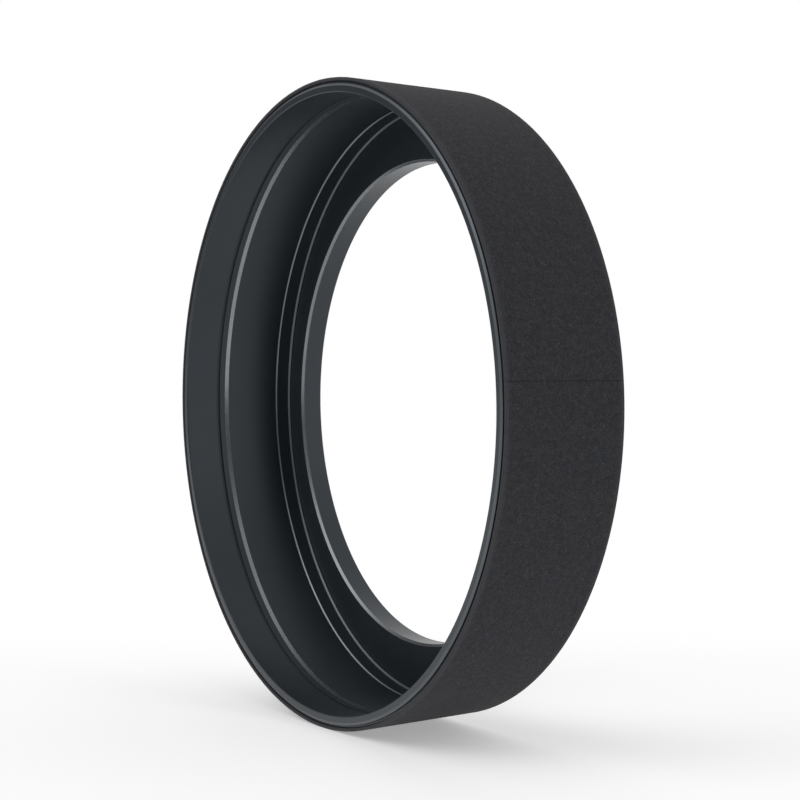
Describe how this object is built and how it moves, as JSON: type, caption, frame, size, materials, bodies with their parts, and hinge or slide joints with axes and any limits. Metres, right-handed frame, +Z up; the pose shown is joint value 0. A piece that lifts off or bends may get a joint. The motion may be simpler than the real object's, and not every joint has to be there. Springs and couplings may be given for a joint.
{
  "type": "lens hood",
  "caption": "Short round screw-in lens hood: black turned rings stacked in a thin tube with a napped cloth wrap, flat front lip and dished rear mount plate.",
  "frame": {"origin": "on the optical axis at the seat face that the lens's front rim rests on, where the lens thread starts", "axes": "+Y along the optical axis towards the lens, so the mouth looks towards -Y; +Z up; +X to the side where the wrap's butt seam lies"},
  "size_m": [0.096, 0.0203, 0.096],
  "materials": {
    "barrel": "satin black anodised aluminium",
    "front_ring": "satin black anodised aluminium",
    "liner": "dull black anodised aluminium",
    "mount_plate": "satin black anodised aluminium",
    "wrap": "short black nap, matte",
    "adhesive": "dried contact adhesive"
  },
  "bodies": {
    "hood": {"barrel": "barrel", "liner": "liner", "spacer_ring": "liner", "mount_plate": "mount_plate", "wrap_band": "wrap", "wrap_adhesive": "adhesive"},
    "front_ring": {"front_ring": "front_ring"},
    "lock_ring": {"lock_ring": "front_ring"}
  },
  "joints": [
    {"name": "front_ring_unscrew", "type": "slide", "parent": "hood", "child": "front_ring", "axis": [0, -1, 0], "range_m": [0, 0.012]},
    {"name": "lock_ring_unscrew", "type": "slide", "parent": "hood", "child": "lock_ring", "axis": [0, 1, 0], "range_m": [0, 0.008]}
  ]
}
